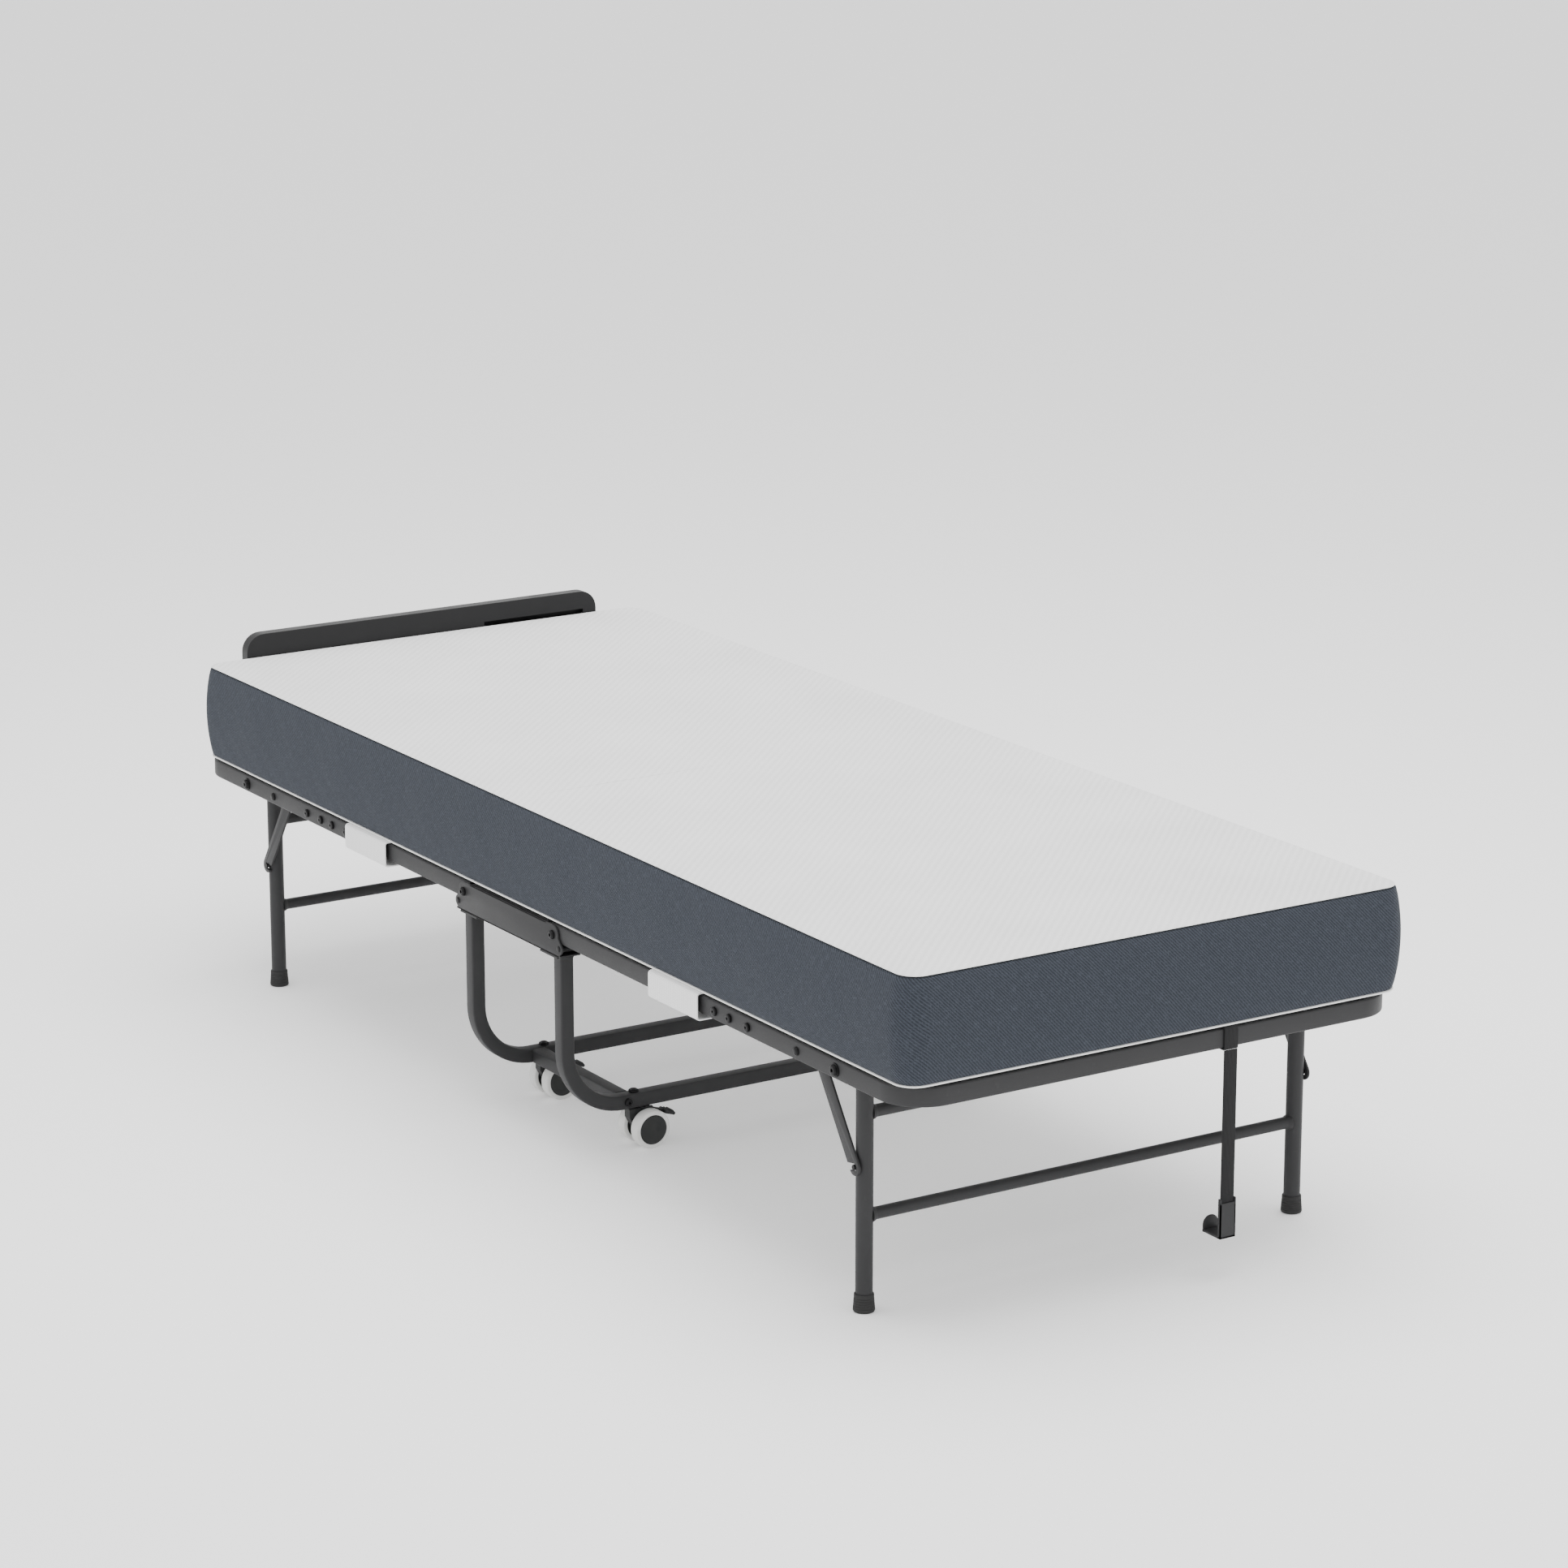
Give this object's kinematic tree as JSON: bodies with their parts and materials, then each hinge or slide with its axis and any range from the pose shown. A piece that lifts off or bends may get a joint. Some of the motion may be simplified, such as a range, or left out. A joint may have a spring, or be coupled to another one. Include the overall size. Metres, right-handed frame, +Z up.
{
  "type": "folding cot",
  "caption": "Rollaway folding bed: hinged steel half frames with foam mattress on a caster base, folding legs with braces, head board and latch strap.",
  "frame": {"origin": "centre of the footprint on the floor, with the bed open", "axes": "+X towards the foot end along the length, +Y across the bed, +Z up"},
  "size_m": [1.9249, 0.7704, 0.51],
  "materials": {
    "frame_coat": "satin",
    "fastener": "satin",
    "foot_rubber": "matte",
    "nylon": "matte",
    "wheel_tread": "satin",
    "board": "matte",
    "webbing": "matte",
    "band_cloth": "matte",
    "mattress_cover": "matte"
  },
  "bodies": {
    "base": {"hoop_head": "frame_coat", "hoop_foot": "frame_coat", "link_bar_near": "frame_coat", "link_bar_far": "frame_coat", "link_rod_near": "fastener", "link_rod_far": "fastener", "pivot_channel_near": "frame_coat", "pivot_channel_far": "frame_coat", "fold_bolt_head_near": "fastener", "fold_bolt_head_far": "fastener", "fold_bolt_foot_near": "fastener", "fold_bolt_foot_far": "fastener", "caster_stem_head_near": "fastener", "caster_stem_head_far": "fastener", "caster_stem_foot_near": "fastener", "caster_stem_foot_far": "fastener", "mattress_middle": "mattress_cover"},
    "head_frame": {"head_rail": "frame_coat", "head_deck": "frame_coat", "mattress_head": "mattress_cover", "rail_band_head": "band_cloth", "headboard": "board", "leg_bolt_head_near": "fastener", "leg_bolt_head_far": "fastener"},
    "foot_frame": {"foot_rail": "frame_coat", "foot_deck": "frame_coat", "mattress_foot": "mattress_cover", "rail_band_foot": "band_cloth", "latch_loop": "webbing", "leg_bolt_foot_near": "fastener", "leg_bolt_foot_far": "fastener"},
    "head_legs": {"leg_frame_head": "frame_coat", "foot_cap_head_near": "foot_rubber", "foot_cap_head_far": "foot_rubber"},
    "brace_head_near": {"brace_head_near": "frame_coat"},
    "brace_head_far": {"brace_head_far": "frame_coat"},
    "foot_legs": {"leg_frame_foot": "frame_coat", "foot_cap_foot_near": "foot_rubber", "foot_cap_foot_far": "foot_rubber"},
    "brace_foot_near": {"brace_foot_near": "frame_coat"},
    "brace_foot_far": {"brace_foot_far": "frame_coat"},
    "latch": {"latch_strap": "webbing", "latch_hook": "frame_coat"},
    "caster_head_near": {"caster_body_head_near": "nylon"},
    "wheel_head_near_a": {"caster_wheel_head_near_a": "wheel_tread"},
    "wheel_head_near_b": {"caster_wheel_head_near_b": "wheel_tread"},
    "lever_head_near": {"brake_lever_head_near": "nylon"},
    "caster_head_far": {"caster_body_head_far": "nylon"},
    "wheel_head_far_a": {"caster_wheel_head_far_a": "wheel_tread"},
    "wheel_head_far_b": {"caster_wheel_head_far_b": "wheel_tread"},
    "lever_head_far": {"brake_lever_head_far": "nylon"},
    "caster_foot_near": {"caster_body_foot_near": "nylon"},
    "wheel_foot_near_a": {"caster_wheel_foot_near_a": "wheel_tread"},
    "wheel_foot_near_b": {"caster_wheel_foot_near_b": "wheel_tread"},
    "lever_foot_near": {"brake_lever_foot_near": "nylon"},
    "caster_foot_far": {"caster_body_foot_far": "nylon"},
    "wheel_foot_far_a": {"caster_wheel_foot_far_a": "wheel_tread"},
    "wheel_foot_far_b": {"caster_wheel_foot_far_b": "wheel_tread"},
    "lever_foot_far": {"brake_lever_foot_far": "nylon"}
  },
  "joints": [
    {"name": "head_fold", "type": "hinge", "parent": "base", "child": "head_frame", "pos_m": [-0.1293, 0, 0.319], "axis": [0, 1, 0], "range_deg": [0, 90], "deforming": ["mattress_head", "mattress_middle"]},
    {"name": "foot_fold", "type": "hinge", "parent": "base", "child": "foot_frame", "pos_m": [0.1166, 0, 0.319], "axis": [0, -1, 0], "range_deg": [0, 90], "deforming": ["mattress_foot"]},
    {"name": "head_legs_fold", "type": "hinge", "parent": "head_frame", "child": "head_legs", "pos_m": [-0.8053, 0, 0.32], "axis": [0, -1, 0], "range_deg": [0, 87]},
    {"name": "brace_head_near_swing", "type": "hinge", "parent": "head_frame", "child": "brace_head_near", "pos_m": [-0.7183, -0.348, 0.32], "axis": [0, 1, 0], "range_deg": [0, 40]},
    {"name": "brace_head_far_swing", "type": "hinge", "parent": "head_frame", "child": "brace_head_far", "pos_m": [-0.7183, 0.348, 0.32], "axis": [0, 1, 0], "range_deg": [0, 40]},
    {"name": "foot_legs_fold", "type": "hinge", "parent": "foot_frame", "child": "foot_legs", "pos_m": [0.802, 0, 0.32], "axis": [0, 1, 0], "range_deg": [0, 87]},
    {"name": "brace_foot_near_swing", "type": "hinge", "parent": "foot_frame", "child": "brace_foot_near", "pos_m": [0.715, -0.348, 0.32], "axis": [0, -1, 0], "range_deg": [0, 40]},
    {"name": "brace_foot_far_swing", "type": "hinge", "parent": "foot_frame", "child": "brace_foot_far", "pos_m": [0.715, 0.348, 0.32], "axis": [0, -1, 0], "range_deg": [0, 40]},
    {"name": "latch_swing", "type": "hinge", "parent": "foot_frame", "child": "latch", "pos_m": [0.9607, 0.1045, 0.3051], "axis": [0, -1, 0], "range_deg": [0, 165]},
    {"name": "caster_head_near_swivel", "type": "hinge", "parent": "base", "child": "caster_head_near", "pos_m": [-0.1293, -0.2578, 0.045], "axis": [0, 0, 1], "continuous": true},
    {"name": "wheel_head_near_a_roll", "type": "hinge", "parent": "caster_head_near", "child": "wheel_head_near_a", "pos_m": [-0.1468, -0.2418, 0.027], "axis": [1, 0, 0], "continuous": true},
    {"name": "wheel_head_near_b_roll", "type": "hinge", "parent": "caster_head_near", "child": "wheel_head_near_b", "pos_m": [-0.1118, -0.2418, 0.027], "axis": [1, 0, 0], "continuous": true},
    {"name": "brake_head_near", "type": "hinge", "parent": "caster_head_near", "child": "lever_head_near", "pos_m": [-0.1293, -0.2358, 0.049], "axis": [-1, 0, 0], "range_deg": [0, 8], "stiffness_Nm_per_rad": 0.6, "springref_deg": -5.73},
    {"name": "caster_head_far_swivel", "type": "hinge", "parent": "base", "child": "caster_head_far", "pos_m": [-0.1293, 0.2578, 0.045], "axis": [0, 0, 1], "continuous": true},
    {"name": "wheel_head_far_a_roll", "type": "hinge", "parent": "caster_head_far", "child": "wheel_head_far_a", "pos_m": [-0.1468, 0.2738, 0.027], "axis": [1, 0, 0], "continuous": true},
    {"name": "wheel_head_far_b_roll", "type": "hinge", "parent": "caster_head_far", "child": "wheel_head_far_b", "pos_m": [-0.1118, 0.2738, 0.027], "axis": [1, 0, 0], "continuous": true},
    {"name": "brake_head_far", "type": "hinge", "parent": "caster_head_far", "child": "lever_head_far", "pos_m": [-0.1293, 0.2798, 0.049], "axis": [-1, 0, 0], "range_deg": [0, 8], "stiffness_Nm_per_rad": 0.6, "springref_deg": -5.73},
    {"name": "caster_foot_near_swivel", "type": "hinge", "parent": "base", "child": "caster_foot_near", "pos_m": [0.1166, -0.2578, 0.045], "axis": [0, 0, 1], "continuous": true},
    {"name": "wheel_foot_near_a_roll", "type": "hinge", "parent": "caster_foot_near", "child": "wheel_foot_near_a", "pos_m": [0.0991, -0.2418, 0.027], "axis": [1, 0, 0], "continuous": true},
    {"name": "wheel_foot_near_b_roll", "type": "hinge", "parent": "caster_foot_near", "child": "wheel_foot_near_b", "pos_m": [0.1341, -0.2418, 0.027], "axis": [1, 0, 0], "continuous": true},
    {"name": "brake_foot_near", "type": "hinge", "parent": "caster_foot_near", "child": "lever_foot_near", "pos_m": [0.1166, -0.2358, 0.049], "axis": [-1, 0, 0], "range_deg": [0, 8], "stiffness_Nm_per_rad": 0.6, "springref_deg": -5.73},
    {"name": "caster_foot_far_swivel", "type": "hinge", "parent": "base", "child": "caster_foot_far", "pos_m": [0.1166, 0.2578, 0.045], "axis": [0, 0, 1], "continuous": true},
    {"name": "wheel_foot_far_a_roll", "type": "hinge", "parent": "caster_foot_far", "child": "wheel_foot_far_a", "pos_m": [0.0991, 0.2738, 0.027], "axis": [1, 0, 0], "continuous": true},
    {"name": "wheel_foot_far_b_roll", "type": "hinge", "parent": "caster_foot_far", "child": "wheel_foot_far_b", "pos_m": [0.1341, 0.2738, 0.027], "axis": [1, 0, 0], "continuous": true},
    {"name": "brake_foot_far", "type": "hinge", "parent": "caster_foot_far", "child": "lever_foot_far", "pos_m": [0.1166, 0.2798, 0.049], "axis": [-1, 0, 0], "range_deg": [0, 8], "stiffness_Nm_per_rad": 0.6, "springref_deg": -5.73}
  ],
  "couplings": [
    {"joint": "brace_head_near_swing", "follows": "head_legs_fold", "ratio": 0.45},
    {"joint": "brace_head_far_swing", "follows": "head_legs_fold", "ratio": 0.45},
    {"joint": "brace_foot_near_swing", "follows": "foot_legs_fold", "ratio": 0.45},
    {"joint": "brace_foot_far_swing", "follows": "foot_legs_fold", "ratio": 0.45}
  ]
}
